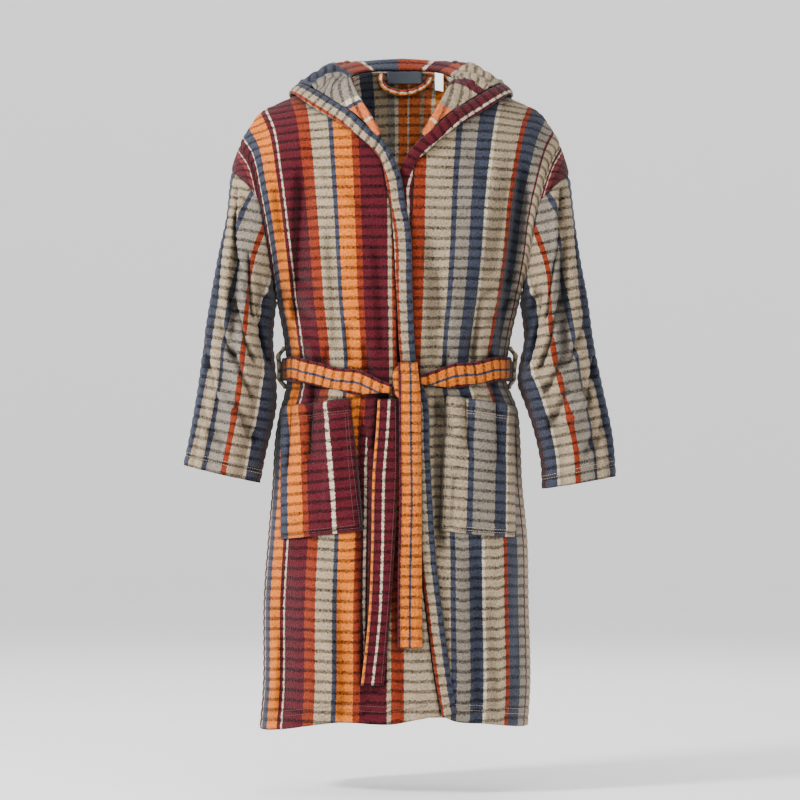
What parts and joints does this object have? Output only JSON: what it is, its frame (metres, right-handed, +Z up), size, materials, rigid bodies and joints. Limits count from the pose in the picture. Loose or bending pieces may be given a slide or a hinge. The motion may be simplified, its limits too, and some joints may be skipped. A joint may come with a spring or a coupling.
{
  "type": "hooded bathrobe",
  "caption": "Hooded terry bathrobe, belted and filled out with no wearer: wrapped fronts, dropped sleeves, patch pockets, hood thrown back.",
  "frame": {"origin": "middle of the shoulder line, where the wearer's shoulders hold the robe", "axes": "+Z up, -Y to the front of the robe, +X to the right of someone who looks at its front"},
  "size_m": [0.731, 0.3419, 1.1437],
  "materials": {
    "terry_warm": "cotton terry, burgundy and orange stripes, cut pile",
    "terry_cool": "cotton terry, beige and slate stripes, cut pile",
    "terry_rust": "cotton terry, rust and cream stripes, cut pile",
    "terry_belt": "cotton terry, orange and slate stripes, cut pile",
    "label_dark": "woven tape, charcoal, bare",
    "label_white": "satin tape, white, bare"
  },
  "bodies": {
    "root": {"front_over": "terry_warm", "front_under": "terry_cool", "back": "terry_rust", "sleeve_left": "terry_cool", "sleeve_right": "terry_cool", "sleeve_head_left": "terry_warm", "sleeve_head_right": "terry_warm", "hood": "terry_rust", "edge_band_over": "terry_cool", "edge_band_under": "terry_warm", "pocket_left": "terry_warm", "pocket_right": "terry_cool", "belt_waist": "terry_belt", "belt_knot": "terry_belt", "belt_tail_upper": "terry_belt", "belt_tail_lower": "terry_warm", "belt_loop_left": "terry_cool", "belt_loop_right": "terry_cool", "hanger_loop": "terry_rust", "neck_label": "label_dark", "care_label": "label_white"}
  },
  "joints": []
}
